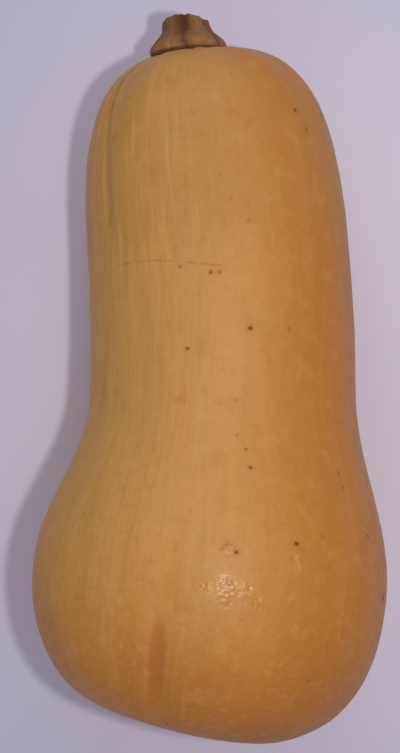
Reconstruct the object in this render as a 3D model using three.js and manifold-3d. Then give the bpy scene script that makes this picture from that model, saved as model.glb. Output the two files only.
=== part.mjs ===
// A butternut squash, as picked, lying on its side: the fruit and its woody stem.
// Millimetres, +Z up. It lies along Y with the stem towards +Y, and rests at Z = 0 on two small
// flat spots, one under the bulb and one under the neck. The origin is on the surface that it lies
// on, under the middle of the squash.

import * as THREE from "three";
import { mergeVertices } from "three/addons/utils/BufferGeometryUtils.js";
import Module from "manifold-3d";

// The fruit's centreline runs from the blossom end to the stem end. It bows towards +X and comes
// down from the fat bulb to the thinner neck. A lean is how far an end points to -X.
const BLOSSOM_END = new THREE.Vector3(-8.4, -114.3, 58.5);
const BLOSSOM_LEAN = THREE.MathUtils.degToRad(13.2);
const BULB_REACH = 95;
const BULB_AXIS_HEIGHT = 56.3;
const STEM_END = new THREE.Vector3(-4.3, 106.9, 39);
const STEM_LEAN = THREE.MathUtils.degToRad(6.7);
const NECK_REACH = 57;
const NECK_AXIS_HEIGHT = 36.6;

// Radii of the fruit, and how far along the centreline each one is.
const BULB_RADIUS = 57.1;
const BULB_AT = 45.8;
const WAIST_RADIUS = 43.7;
const WAIST_AT = 107.2;
const SHOULDER_RADIUS = 43;
const SHOULDER_AT = 154.3;

// How far each round stretch of the profile holds its direction before it turns.
const BLOSSOM_BLUNTNESS = 12.6;
const BULB_FULLNESS = 51.7;
const BULB_TO_WAIST = 24;
const WAIST_TO_BULB = 24;
const NECK_STRAIGHTNESS = 15;
const SHOULDER_FULLNESS = 39.8;
const STEM_END_BLUNTNESS = 39;

// Low relief of the skin, in mm. Angles go round the fruit from +X over the top. Faint lobes run
// along it, five on the bulb and ten on the neck, and their angles are those of a valley. Two soft
// furrows run along it too: one on top of the bulb's end, and one on the left of the neck. The
// bulb's end is fuller low on the left.
const BULB_LOBES = 5;
const BULB_LOBE_ANGLE = THREE.MathUtils.degToRad(96);
const BULB_LOBE_DEPTH = 0.9;
const BULB_LOBES_AT = 60;
const BULB_LOBES_REACH = 18;
const NECK_LOBES = 10;
const NECK_LOBE_ANGLE = THREE.MathUtils.degToRad(104);
const NECK_LOBE_DEPTH = 0.3;
const NECK_LOBES_AT = 36;
const NECK_LOBES_REACH = 24;
const CORNER_ANGLE = THREE.MathUtils.degToRad(172);
const CORNER_HEIGHT = 1.2;
const CORNER_WIDTH = 18;
const CORNER_AT = 34;
const CORNER_REACH = 14;
const CREASE_ANGLE = THREE.MathUtils.degToRad(104);
const CREASE_DEPTH = 1.1;
const CREASE_WIDTH = 3.4;
const CREASE_AT = 60;
const CREASE_REACH = 20;
const FURROW_ANGLE = THREE.MathUtils.degToRad(143);
const FURROW_DEPTH = 0.7;
const FURROW_WIDTH = 3.2;
const FURROW_AT = 55;
const FURROW_REACH = 34;
const BLOSSOM_DIMPLE_DEPTH = 2.4;
const BLOSSOM_DIMPLE_RADIUS = 9;
const STEM_DIMPLE_DEPTH = 1.2;
const STEM_DIMPLE_RADIUS = 15;
const SWAY = 0.3;
const SWAY_LENGTH = 30;
const END_CALM = 12;

// The stem: a five-ridged peduncle, flared where it meets the fruit and broken off unevenly. It
// stands a little to the side of the fruit's end. Its lengths are measured from there, and its
// angles go round it from +X over the top. Spreads, ridges and the groove are shares of its radius.
// On its -X side it spreads further and its ridges fade. Its broken end is highest at the crown,
// and its foot reaches lowest over the fruit on the +X side.
const STEM_OFFSET = new THREE.Vector3(-2.5, -0.9, 0);
const STEM_BASE_RADIUS = 12;
const STEM_SHANK_RADIUS = 7.2;
const STEM_LENGTH = 11.5;
const STEM_SHANK_AT = 8.5;
const STEM_FLARE_LOW = 4;
const STEM_FLARE_HIGH = 5;
const STEM_ROOT = 6;
const STEM_EDGE = 0.7;
const STEM_HOLLOW_RADIUS = 3.6;
const STEM_HOLLOW_DEPTH = 1.8;
const STEM_RIDGES = 5;
const STEM_RIDGE_ANGLE = THREE.MathUtils.degToRad(60);
const STEM_RIDGE_AT_BASE = 0.06;
const STEM_RIDGE_AT_END = 0.14;
const STEM_RIDGE_FADE = 0.7;
const STEM_SPREAD = 0.12;
const STEM_SPREAD_AT = 0.4;
const STEM_SPREAD_REACH = 0.45;
const STEM_GROOVE_ANGLE = THREE.MathUtils.degToRad(94);
const STEM_GROOVE_WIDTH = 0.38;
const STEM_GROOVE_DEPTH = 0.15;
const STEM_GROOVE_STARTS = 0.1;
const STEM_GROOVE_FULL = 0.5;
const STEM_CROWN_AT = -2.2;
const STEM_CROWN_DROP = 1.66;
const STEM_CROWN_MOST = 2.2;
const STEM_FOOT_DROP = 1.4;
const STEM_TILT = THREE.MathUtils.degToRad(8);
const STEM_RISE = THREE.MathUtils.degToRad(3);
const STEM_SEAT_GAP = 0.3;

// How finely the shapes are cut into facets, and how near two corners are to count as one.
const FRUIT_SEGMENTS = 80;
const FRUIT_RINGS = 46;
const STEM_SEGMENTS = 40;
const STEM_CURVE_STEPS = 8;
const CENTRELINE_SAMPLES = 400;
const WELD_DISTANCE = 1e-3;

// The line that the fruit grew along, leaving and arriving at the leans of its two ends.
function makeCentreline() {
  const bulbHandle = new THREE.Vector3(
    BLOSSOM_END.x + BULB_REACH * Math.sin(BLOSSOM_LEAN),
    BLOSSOM_END.y + BULB_REACH * Math.cos(BLOSSOM_LEAN),
    BULB_AXIS_HEIGHT,
  );
  const neckHandle = new THREE.Vector3(
    STEM_END.x + NECK_REACH * Math.sin(STEM_LEAN),
    STEM_END.y - NECK_REACH * Math.cos(STEM_LEAN),
    NECK_AXIS_HEIGHT,
  );
  const curve = new THREE.CubicBezierCurve3(BLOSSOM_END, bulbHandle, neckHandle, STEM_END);
  curve.arcLengthDivisions = CENTRELINE_SAMPLES;
  return curve;
}

// The fruit's half section: x is the radius, y the distance along the centreline.
function makeProfile(length) {
  const taper = (SHOULDER_RADIUS - WAIST_RADIUS) / (SHOULDER_AT - WAIST_AT);
  const path = new THREE.Path();
  path.moveTo(0, 0);
  path.bezierCurveTo(
    BLOSSOM_BLUNTNESS, 0,
    BULB_RADIUS, BULB_AT - BULB_FULLNESS,
    BULB_RADIUS, BULB_AT,
  );
  path.bezierCurveTo(
    BULB_RADIUS, BULB_AT + BULB_TO_WAIST,
    WAIST_RADIUS - taper * WAIST_TO_BULB, WAIST_AT - WAIST_TO_BULB,
    WAIST_RADIUS, WAIST_AT,
  );
  path.bezierCurveTo(
    WAIST_RADIUS + taper * NECK_STRAIGHTNESS, WAIST_AT + NECK_STRAIGHTNESS,
    SHOULDER_RADIUS - taper * NECK_STRAIGHTNESS, SHOULDER_AT - NECK_STRAIGHTNESS,
    SHOULDER_RADIUS, SHOULDER_AT,
  );
  path.bezierCurveTo(
    SHOULDER_RADIUS + taper * SHOULDER_FULLNESS, SHOULDER_AT + SHOULDER_FULLNESS,
    STEM_END_BLUNTNESS, length,
    0, length,
  );
  return path;
}

// 1 at no distance, falling smoothly to nothing a few widths away.
const hill = (distance, width) => Math.exp(-((distance / width) ** 2));

// The distance in mm round a ring of that radius, from one angle to another.
const aroundFrom = (start, end, radius) =>
  Math.atan2(Math.sin(end - start), Math.cos(end - start)) * radius;

// How far the skin stands proud of the plain profile, in mm. The two distances are measured over
// the skin, from the blossom end and from the stem end.
function relief(fromBlossom, fromStem, angle, radius) {
  const bulbLobes =
    -BULB_LOBE_DEPTH *
    hill(fromBlossom - BULB_LOBES_AT, BULB_LOBES_REACH) *
    Math.cos(BULB_LOBES * (angle - BULB_LOBE_ANGLE));
  const neckLobes =
    -NECK_LOBE_DEPTH *
    hill(fromStem - NECK_LOBES_AT, NECK_LOBES_REACH) *
    Math.cos(NECK_LOBES * (angle - NECK_LOBE_ANGLE));
  const corner =
    CORNER_HEIGHT *
    hill(fromBlossom - CORNER_AT, CORNER_REACH) *
    hill(aroundFrom(CORNER_ANGLE, angle, radius), CORNER_WIDTH);
  const crease =
    -CREASE_DEPTH *
    hill(fromBlossom - CREASE_AT, CREASE_REACH) *
    hill(aroundFrom(CREASE_ANGLE, angle, radius), CREASE_WIDTH);
  const furrow =
    -FURROW_DEPTH *
    hill(fromStem - FURROW_AT, FURROW_REACH) *
    hill(aroundFrom(FURROW_ANGLE, angle, radius), FURROW_WIDTH);
  const dimples =
    -BLOSSOM_DIMPLE_DEPTH * hill(fromBlossom, BLOSSOM_DIMPLE_RADIUS) -
    STEM_DIMPLE_DEPTH * hill(fromStem, STEM_DIMPLE_RADIUS);
  const sway = SWAY * Math.sin(2 * angle + fromBlossom / SWAY_LENGTH);
  const awayFromEnds = 1 - hill(radius, END_CALM);
  return dimples + awayFromEnds * (bulbLobes + neckLobes + corner + crease + furrow + sway);
}

// The fruit's skin as a closed geometry, lifted off the real skin by `lift` mm.
function makeFruit(centreline, lift = 0) {
  const profile = makeProfile(centreline.getLength());
  const rings = profile.getSpacedPoints(FRUIT_RINGS);
  const skinLength = profile.getLength();
  const geometry = new THREE.LatheGeometry(rings, FRUIT_SEGMENTS);
  const position = geometry.getAttribute("position");

  rings.forEach((ring, row) => {
    const share = row / FRUIT_RINGS;
    const slope = profile.getTangent(share);
    if (ring.x === 0) {
      slope.set(Math.sign(slope.x), 0);
    }
    const at = THREE.MathUtils.clamp(ring.y / centreline.getLength(), 0, 1);
    const middle = centreline.getPointAt(at);
    const ahead = centreline.getTangentAt(at);
    const right = new THREE.Vector3(ahead.y, -ahead.x, 0).normalize();
    const up = new THREE.Vector3().crossVectors(right, ahead);

    for (let column = 0; column <= FRUIT_SEGMENTS; column += 1) {
      const angle = (-column / FRUIT_SEGMENTS) * 2 * Math.PI;
      const outwards = right
        .clone()
        .multiplyScalar(Math.cos(angle))
        .addScaledVector(up, Math.sin(angle));
      const normal = outwards
        .clone()
        .multiplyScalar(slope.y)
        .addScaledVector(ahead, -slope.x);
      const height =
        relief(share * skinLength, (1 - share) * skinLength, angle, ring.x) + lift;
      const point = middle
        .clone()
        .addScaledVector(outwards, ring.x)
        .addScaledVector(normal, height);
      const index = column * rings.length + row;
      position.setXYZ(index, point.x, point.y, Math.max(point.z, 0));
    }
  });
  return geometry;
}

// The stem before the fruit's end is taken out of it, standing on the origin along +Y.
function makeStemBlank() {
  const half = new THREE.Path();
  half.moveTo(0, -STEM_ROOT);
  half.lineTo(STEM_BASE_RADIUS, -STEM_ROOT);
  half.lineTo(STEM_BASE_RADIUS, 0);
  half.bezierCurveTo(
    STEM_BASE_RADIUS, STEM_FLARE_LOW,
    STEM_SHANK_RADIUS, STEM_FLARE_HIGH,
    STEM_SHANK_RADIUS, STEM_SHANK_AT,
  );
  half.lineTo(STEM_SHANK_RADIUS, STEM_LENGTH - STEM_EDGE);
  half.lineTo(STEM_SHANK_RADIUS - STEM_EDGE, STEM_LENGTH);
  half.lineTo(STEM_HOLLOW_RADIUS, STEM_LENGTH - STEM_HOLLOW_DEPTH / 2);
  half.lineTo(0, STEM_LENGTH - STEM_HOLLOW_DEPTH);
  const geometry = new THREE.LatheGeometry(half.getPoints(STEM_CURVE_STEPS), STEM_SEGMENTS);
  const position = geometry.getAttribute("position");

  for (let i = 0; i < position.count; i += 1) {
    const x = position.getX(i);
    const y = position.getY(i);
    const z = position.getZ(i);
    const rise = THREE.MathUtils.clamp(y / STEM_LENGTH, 0, 1);
    const angle = Math.atan2(z, x);
    const towardsLeft = Math.max(-Math.cos(angle), 0);
    const depth =
      THREE.MathUtils.lerp(STEM_RIDGE_AT_BASE, STEM_RIDGE_AT_END, rise) *
      (1 - STEM_RIDGE_FADE * towardsLeft);
    const ridge = depth * Math.cos(STEM_RIDGES * (angle - STEM_RIDGE_ANGLE));
    const spread =
      STEM_SPREAD * hill(rise - STEM_SPREAD_AT, STEM_SPREAD_REACH) * towardsLeft;
    const groove =
      STEM_GROOVE_DEPTH *
      hill(aroundFrom(STEM_GROOVE_ANGLE, angle, 1), STEM_GROOVE_WIDTH) *
      THREE.MathUtils.smoothstep(rise, STEM_GROOVE_STARTS, STEM_GROOVE_FULL);
    const width = 1 + ridge + spread - groove;
    const fromCrown = (x * width - STEM_CROWN_AT) / STEM_SHANK_RADIUS;
    const endDrop = Math.min(STEM_CROWN_DROP * fromCrown ** 2, STEM_CROWN_MOST) * rise ** 4;
    const footDrop = STEM_FOOT_DROP * (Math.max(x, 0) / STEM_BASE_RADIUS) * (1 - rise) ** 2;
    position.setXYZ(i, x * width, y - endDrop - footDrop, z * width);
  }
  return geometry;
}

const wasm = await Module();
wasm.setup();

// A closed geometry as a manifold solid, and back.
function toSolid(geometry) {
  const bare = new THREE.BufferGeometry();
  bare.setAttribute("position", geometry.getAttribute("position"));
  bare.setIndex(geometry.index);
  const merged = mergeVertices(bare, WELD_DISTANCE);
  const corners = merged.index.array;
  const triangles = [];
  for (let i = 0; i < corners.length; i += 3) {
    const [a, b, c] = [corners[i], corners[i + 1], corners[i + 2]];
    if (a !== b && b !== c && c !== a) {
      triangles.push(a, b, c);
    }
  }
  return new wasm.Manifold(
    new wasm.Mesh({
      numProp: 3,
      vertProperties: merged.getAttribute("position").array,
      triVerts: new Uint32Array(triangles),
    }),
  );
}

function toGeometry(solid) {
  const mesh = solid.getMesh();
  const geometry = new THREE.BufferGeometry();
  geometry.setAttribute("position", new THREE.BufferAttribute(mesh.vertProperties, 3));
  geometry.setIndex(new THREE.BufferAttribute(mesh.triVerts, 1));
  geometry.computeVertexNormals();
  return geometry;
}

const centreline = makeCentreline();

const skin = new THREE.MeshStandardMaterial({ color: 0xc8954f, roughness: 0.55, metalness: 0 });
const fruit = new THREE.Mesh(makeFruit(centreline), skin);
fruit.name = "fruit";

const wood = new THREE.MeshStandardMaterial({ color: 0x7d5636, roughness: 0.9, metalness: 0 });
const stemBlank = makeStemBlank()
  .rotateX(STEM_RISE)
  .rotateZ(STEM_TILT)
  .translate(...STEM_END.clone().add(STEM_OFFSET));
const stem = new THREE.Mesh(
  toGeometry(toSolid(stemBlank).subtract(toSolid(makeFruit(centreline, STEM_SEAT_GAP)))),
  wood,
);
stem.name = "stem";

const squash = new THREE.Group();
squash.add(fruit, stem);

export default squash;
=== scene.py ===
"""A butternut squash lying on its side: the looks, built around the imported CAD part.

Lengths are in millimetres until a vertex, a lamp or a node is made. Angles round the fruit and the
stem are in radians, from +X over the top.
"""

import bisect
import math

import bmesh
import bpy
from mathutils import Euler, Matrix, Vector, noise
from mathutils.bvhtree import BVHTree
from mathutils.geometry import interpolate_bezier


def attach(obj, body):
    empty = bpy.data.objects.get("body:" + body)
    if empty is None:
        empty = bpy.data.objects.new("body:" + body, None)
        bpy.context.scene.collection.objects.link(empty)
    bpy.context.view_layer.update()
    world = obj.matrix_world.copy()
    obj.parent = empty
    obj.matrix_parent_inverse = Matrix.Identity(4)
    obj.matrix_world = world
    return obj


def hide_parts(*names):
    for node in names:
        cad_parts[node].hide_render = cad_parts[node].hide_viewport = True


MM = 0.001

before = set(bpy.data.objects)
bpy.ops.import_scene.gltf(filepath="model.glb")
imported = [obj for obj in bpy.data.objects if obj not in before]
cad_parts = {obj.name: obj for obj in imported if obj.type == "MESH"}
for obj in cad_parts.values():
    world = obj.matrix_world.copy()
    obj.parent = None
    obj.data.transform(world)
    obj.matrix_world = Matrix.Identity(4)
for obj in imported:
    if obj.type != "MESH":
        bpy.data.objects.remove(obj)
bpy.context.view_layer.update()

# The fruit, as the CAD part has it.
BLOSSOM_END = Vector((-8.4, -114.3, 58.5))
BLOSSOM_LEAN = math.radians(13.2)
BULB_REACH = 95
BULB_AXIS_HEIGHT = 56.3
STEM_END = Vector((-4.3, 106.9, 39.0))
STEM_LEAN = math.radians(6.7)
NECK_REACH = 57
NECK_AXIS_HEIGHT = 36.6

BULB_RADIUS = 57.1
BULB_AT = 45.8
WAIST_RADIUS = 43.7
WAIST_AT = 107.2
SHOULDER_RADIUS = 43
SHOULDER_AT = 154.3
BLOSSOM_BLUNTNESS = 12.6
BULB_FULLNESS = 51.7
BULB_TO_WAIST = 24
WAIST_TO_BULB = 24
NECK_STRAIGHTNESS = 15
SHOULDER_FULLNESS = 39.8
STEM_END_BLUNTNESS = 39

BULB_LOBES = 5
BULB_LOBE_ANGLE = math.radians(96)
BULB_LOBE_DEPTH = 0.9
BULB_LOBES_AT = 60
BULB_LOBES_REACH = 18
NECK_LOBES = 10
NECK_LOBE_ANGLE = math.radians(104)
NECK_LOBE_DEPTH = 0.3
NECK_LOBES_AT = 36
NECK_LOBES_REACH = 24
CORNER_ANGLE = math.radians(172)
CORNER_HEIGHT = 1.2
CORNER_WIDTH = 18
CORNER_AT = 34
CORNER_REACH = 14
CREASE_ANGLE = math.radians(104)
CREASE_DEPTH = 1.1
CREASE_WIDTH = 3.4
CREASE_AT = 60
CREASE_REACH = 20
FURROW_ANGLE = math.radians(143)
FURROW_DEPTH = 0.7
FURROW_WIDTH = 3.2
FURROW_AT = 55
FURROW_REACH = 34
BLOSSOM_DIMPLE_DEPTH = 2.4
BLOSSOM_DIMPLE_RADIUS = 9
STEM_DIMPLE_DEPTH = 1.2
STEM_DIMPLE_RADIUS = 15
SWAY = 0.3
SWAY_LENGTH = 30
END_CALM = 12

# The skin's own fine forms: how high they stand, and over what length or how often they swell.
BROAD_DENT_HEIGHT = 0.22
BROAD_DENT_LENGTH = 26
SMALL_DENT_HEIGHT = 0.1
SMALL_DENT_LENGTH = 9
RIPPLE_HEIGHT = 0.07
RIPPLES_ROUND = 9
RIPPLE_LENGTH = 220
WART_HEIGHT = 0.09
WART_LENGTH = 3.1
WART_LOWEST = -0.1
WARTS_THIN_AT = 80
WARTS_END_AT = 130
PUCKERS = 16
PUCKER_HEIGHT = 0.12
PUCKER_WANDER = 3
PUCKER_WANDER_LENGTH = 6
PUCKERS_START = 6
PUCKERS_FULL = 12
PUCKERS_END = 22

# The blossom scar, a rough round button on the blossom end.
BUTTON_HEIGHT = 1.6
BUTTON_TOP_RADIUS = 2.2
BUTTON_FOOT_RADIUS = 4.2
CRUMB_HEIGHT = 0.25
CRUMB_LENGTH = 1.5
CRUMBS_THIN_AT = 4
CRUMBS_END_AT = 7

# The stem, as the CAD part has it, with its foot drawn in under its toes.
STEM_OFFSET = Vector((-2.5, -0.9, 0))
STEM_BASE_RADIUS = 12
STEM_FOOT_RADIUS = 10.4
STEM_TOE_AT = 0.3
STEM_SHANK_RADIUS = 7.2
STEM_LENGTH = 11.5
STEM_SHANK_AT = 8.5
STEM_ROOT = 3
STEM_EDGE = 0.7
STEM_HOLLOW_RADIUS = 3.6
STEM_HOLLOW_DEPTH = 1.8
STEM_RIDGES = 5
STEM_RIDGE_ANGLE = math.radians(60)
STEM_RIDGE_AT_BASE = 0.06
STEM_RIDGE_AT_END = 0.14
STEM_RIDGE_FADE = 0.7
STEM_SPREAD = 0.12
STEM_SPREAD_AT = 0.4
STEM_SPREAD_REACH = 0.45
STEM_GROOVE_ANGLE = math.radians(94)
STEM_GROOVE_WIDTH = 0.38
STEM_GROOVE_DEPTH = 0.15
STEM_GROOVE_STARTS = 0.1
STEM_GROOVE_FULL = 0.5
STEM_CROWN_AT = -2.2
STEM_CROWN_DROP = 1.66
STEM_CROWN_MOST = 2.2
STEM_FOOT_DROP = 1.4
STEM_TILT = math.radians(8)
STEM_RISE = math.radians(3)

# How far the handles of the stem's half section lie before and after each of its points.
STEM_AFTER_FOOT = Vector((0.2, 1.6))
STEM_BEFORE_TOE = Vector((0, 1.2))
STEM_AFTER_TOE = Vector((0, 3.2))
STEM_BEFORE_SHANK = Vector((0, 3.8))
STEM_AFTER_SHANK = Vector((0, 2))
STEM_BEFORE_RIM = Vector((0.9, 0))
STEM_AFTER_RIM = Vector((1, 0))

# The stem's own fine forms: ridges that wander, fibres, lumps, and an end that is torn.
STEM_RIDGE_BREADTH = 0.8
STEM_WANDER = 0.18
STEM_WANDERS_ROUND = 1.3
STEM_WANDERS_UP = 2.6
FIBRE_HEIGHT = 0.3
FIBRES_ROUND = 11
FIBRES_UP = 0.12
LUMP_HEIGHT = 0.45
LUMPS_ROUND = 2
LUMPS_UP = 0.3
LUMPS_SHIFT = 7
TEAR_HEIGHT = 0.4
TEARS_ROUND = 3.1
TEARS_SHIFT = Vector((0, 0, 3))
SPLINTER_HEIGHT = 0.25
SPLINTERS_ROUND = 9
SPLINTERS_SHIFT = Vector((0, 5, 0))

# Where the stem is palest and darkest: a tan ridge on top, and the hollow beside it.
RIDGE_TONE = 0.8
HOLLOW_TONE = 2
TAN_RIDGE_ANGLE = math.radians(62)
TAN_RIDGE_WIDTH = 0.3
TAN_RIDGE_STARTS = 0.3
TAN_RIDGE_FULL = 0.6
DARK_HOLLOW_WIDTH = 0.45
DARK_HOLLOW_STARTS = 0.35
DARK_HOLLOW_FULL = 0.6

FRUIT_SEGMENTS = 300
FRUIT_RINGS = 250
STEM_SEGMENTS = 180
STEM_RINGS = 110
SPAN_STEPS = 400
MERGE_GAP = 1e-5

# Round this radius the skin's grain is drawn, so that it runs without a seam.
GRAIN_RADIUS = 50


def hill(distance, width):
    """1 at no distance, falling smoothly to nothing a few widths away."""
    return math.exp(-((distance / width) ** 2))


def around(start, end, radius):
    """The distance round a ring of that radius, from one angle to another."""
    return math.atan2(math.sin(end - start), math.cos(end - start)) * radius


def smooth(value, low, high):
    """0 below low, 1 above high, and a smooth climb between."""
    share = min(max((value - low) / (high - low), 0), 1)
    return share * share * (3 - 2 * share)


class Course:
    """A line of Bezier spans that gives the point and the direction at any distance along it."""

    def __init__(self, *spans):
        self.points = [spans[0][0].copy()]
        for span in spans:
            self.points += interpolate_bezier(*span, SPAN_STEPS)[1:]
        self.reach = [0.0]
        for before, after in zip(self.points, self.points[1:]):
            self.reach.append(self.reach[-1] + (after - before).length)
        self.length = self.reach[-1]

    def at(self, distance):
        """The point and the unit direction at that distance."""
        i = min(max(bisect.bisect_right(self.reach, distance) - 1, 0), len(self.points) - 2)
        share = (distance - self.reach[i]) / (self.reach[i + 1] - self.reach[i])
        point = self.points[i].lerp(self.points[i + 1], share)
        before = self.points[max(i - 1, 0)]
        after = self.points[min(i + 2, len(self.points) - 1)]
        return point, (after - before).normalized()


def fruit_centreline():
    """The line that the fruit grew along."""
    bulb_handle = Vector(
        (
            BLOSSOM_END.x + BULB_REACH * math.sin(BLOSSOM_LEAN),
            BLOSSOM_END.y + BULB_REACH * math.cos(BLOSSOM_LEAN),
            BULB_AXIS_HEIGHT,
        )
    )
    neck_handle = Vector(
        (
            STEM_END.x + NECK_REACH * math.sin(STEM_LEAN),
            STEM_END.y - NECK_REACH * math.cos(STEM_LEAN),
            NECK_AXIS_HEIGHT,
        )
    )
    return Course((BLOSSOM_END, bulb_handle, neck_handle, STEM_END))


def fruit_profile(length):
    """The fruit's half section: x is the radius, y the distance along the centreline."""
    taper = (SHOULDER_RADIUS - WAIST_RADIUS) / (SHOULDER_AT - WAIST_AT)
    blossom = Vector((0, 0))
    bulb = Vector((BULB_RADIUS, BULB_AT))
    waist = Vector((WAIST_RADIUS, WAIST_AT))
    shoulder = Vector((SHOULDER_RADIUS, SHOULDER_AT))
    neck = Vector((taper, 1))
    return Course(
        (
            blossom,
            Vector((BLOSSOM_BLUNTNESS, 0)),
            bulb - Vector((0, BULB_FULLNESS)),
            bulb,
        ),
        (bulb, bulb + Vector((0, BULB_TO_WAIST)), waist - neck * WAIST_TO_BULB, waist),
        (waist, waist + neck * NECK_STRAIGHTNESS, shoulder - neck * NECK_STRAIGHTNESS, shoulder),
        (
            shoulder,
            shoulder + neck * SHOULDER_FULLNESS,
            Vector((STEM_END_BLUNTNESS, length)),
            Vector((0, length)),
        ),
    )


CENTRELINE = fruit_centreline()
PROFILE = fruit_profile(CENTRELINE.length)


def relief(from_blossom, from_stem, angle, radius):
    """How far the CAD part's skin stands proud of the plain profile."""
    bulb_lobes = -BULB_LOBE_DEPTH * hill(from_blossom - BULB_LOBES_AT, BULB_LOBES_REACH)
    bulb_lobes *= math.cos(BULB_LOBES * (angle - BULB_LOBE_ANGLE))
    neck_lobes = -NECK_LOBE_DEPTH * hill(from_stem - NECK_LOBES_AT, NECK_LOBES_REACH)
    neck_lobes *= math.cos(NECK_LOBES * (angle - NECK_LOBE_ANGLE))
    corner = CORNER_HEIGHT * hill(from_blossom - CORNER_AT, CORNER_REACH)
    corner *= hill(around(CORNER_ANGLE, angle, radius), CORNER_WIDTH)
    crease = -CREASE_DEPTH * hill(from_blossom - CREASE_AT, CREASE_REACH)
    crease *= hill(around(CREASE_ANGLE, angle, radius), CREASE_WIDTH)
    furrow = -FURROW_DEPTH * hill(from_stem - FURROW_AT, FURROW_REACH)
    furrow *= hill(around(FURROW_ANGLE, angle, radius), FURROW_WIDTH)
    dimples = -BLOSSOM_DIMPLE_DEPTH * hill(from_blossom, BLOSSOM_DIMPLE_RADIUS)
    dimples -= STEM_DIMPLE_DEPTH * hill(from_stem, STEM_DIMPLE_RADIUS)
    sway = SWAY * math.sin(2 * angle + from_blossom / SWAY_LENGTH)
    away_from_ends = 1 - hill(radius, END_CALM)
    folds = bulb_lobes + neck_lobes + corner + crease + furrow + sway
    return dimples + away_from_ends * folds


def unevenness(place, from_blossom, from_stem, angle, radius):
    """The skin's own fine forms, which the CAD part leaves out."""
    away_from_ends = 1 - hill(radius, END_CALM)
    dents = BROAD_DENT_HEIGHT * noise.noise(place / BROAD_DENT_LENGTH)
    dents += SMALL_DENT_HEIGHT * noise.noise(place / SMALL_DENT_LENGTH)
    ripple_place = Vector((math.cos(angle), math.sin(angle), from_blossom / RIPPLE_LENGTH))
    ripples = RIPPLE_HEIGHT * noise.noise(ripple_place * RIPPLES_ROUND)
    warts = WART_HEIGHT * (1 - smooth(from_blossom, WARTS_THIN_AT, WARTS_END_AT))
    warts *= max(noise.noise(place / WART_LENGTH), WART_LOWEST)
    button = BUTTON_HEIGHT * (1 - smooth(from_blossom, BUTTON_TOP_RADIUS, BUTTON_FOOT_RADIUS))
    crumbs = CRUMB_HEIGHT * noise.noise(place / CRUMB_LENGTH)
    crumbs *= 1 - smooth(from_blossom, CRUMBS_THIN_AT, CRUMBS_END_AT)
    pucker_wander = PUCKER_WANDER * noise.noise(place / PUCKER_WANDER_LENGTH)
    pucker = PUCKER_HEIGHT * math.cos(PUCKERS * angle + pucker_wander)
    pucker *= smooth(from_stem, PUCKERS_START, PUCKERS_FULL)
    pucker *= 1 - smooth(from_stem, PUCKERS_FULL, PUCKERS_END)
    return away_from_ends * (dents + ripples + warts) + button + crumbs + pucker


def finish_mesh(bm, name):
    """The bmesh as a smooth-shaded object."""
    bmesh.ops.recalc_face_normals(bm, faces=bm.faces[:])
    for face in bm.faces:
        face.smooth = True
    mesh = bpy.data.meshes.new(name)
    bm.to_mesh(mesh)
    piece = bpy.data.objects.new(name, mesh)
    bpy.context.scene.collection.objects.link(piece)
    return piece


def spun(course, rings, segments):
    """A half section spun round the Y axis, with each vertex's ring kept in a layer."""
    bm = bmesh.new()
    ring = bm.verts.layers.int.new("ring")
    for row in range(rings + 1):
        point, _ = course.at(course.length * row / rings)
        vert = bm.verts.new((max(point.x, 0), point.y, 0))
        vert[ring] = row
    bm.verts.ensure_lookup_table()
    for row in range(rings):
        bm.edges.new((bm.verts[row], bm.verts[row + 1]))
    bmesh.ops.spin(
        bm,
        geom=bm.verts[:] + bm.edges[:],
        cent=(0, 0, 0),
        axis=(0, 1, 0),
        angle=2 * math.pi,
        steps=segments,
        use_merge=True,
    )
    bmesh.ops.remove_doubles(bm, verts=bm.verts[:], dist=MERGE_GAP)
    return bm, ring


def fruit_stations():
    """For each ring: its radius, slope and middle, and the directions ahead, right and up there."""
    stations = []
    for row in range(FRUIT_RINGS + 1):
        point, slope = PROFILE.at(PROFILE.length * row / FRUIT_RINGS)
        if row in (0, FRUIT_RINGS):
            slope = Vector((1 if row == 0 else -1, 0))
        middle, ahead = CENTRELINE.at(min(max(point.y, 0), CENTRELINE.length))
        right = Vector((ahead.y, -ahead.x, 0)).normalized()
        stations.append((max(point.x, 0), slope, middle, ahead, right, right.cross(ahead)))
    return stations


def make_fruit():
    """The fruit, with its furrows, dimples, scar and uneven skin, and its skin to aim at."""
    bm, ring = spun(PROFILE, FRUIT_RINGS, FRUIT_SEGMENTS)
    grain = bm.verts.layers.float_vector.new("grain")
    stations = fruit_stations()
    for vert in bm.verts:
        row = vert[ring]
        radius, slope, middle, ahead, right, up = stations[row]
        angle = math.atan2(vert.co.z, vert.co.x)
        outwards = right * math.cos(angle) + up * math.sin(angle)
        normal = outwards * slope.y - ahead * slope.x
        from_blossom = PROFILE.length * row / FRUIT_RINGS
        from_stem = PROFILE.length - from_blossom
        place = middle + outwards * radius
        height = relief(from_blossom, from_stem, angle, radius)
        height += unevenness(place, from_blossom, from_stem, angle, radius)
        place += normal * height
        place.z = max(place.z, 0)
        vert.co = place * MM
        direction = Vector((math.cos(angle), math.sin(angle), 0))
        vert[grain] = (direction * GRAIN_RADIUS + Vector((0, 0, from_blossom))) * MM
    piece = finish_mesh(bm, "squash_fruit")
    skin = BVHTree.FromBMesh(bm)
    bm.free()
    return piece, skin


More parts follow.
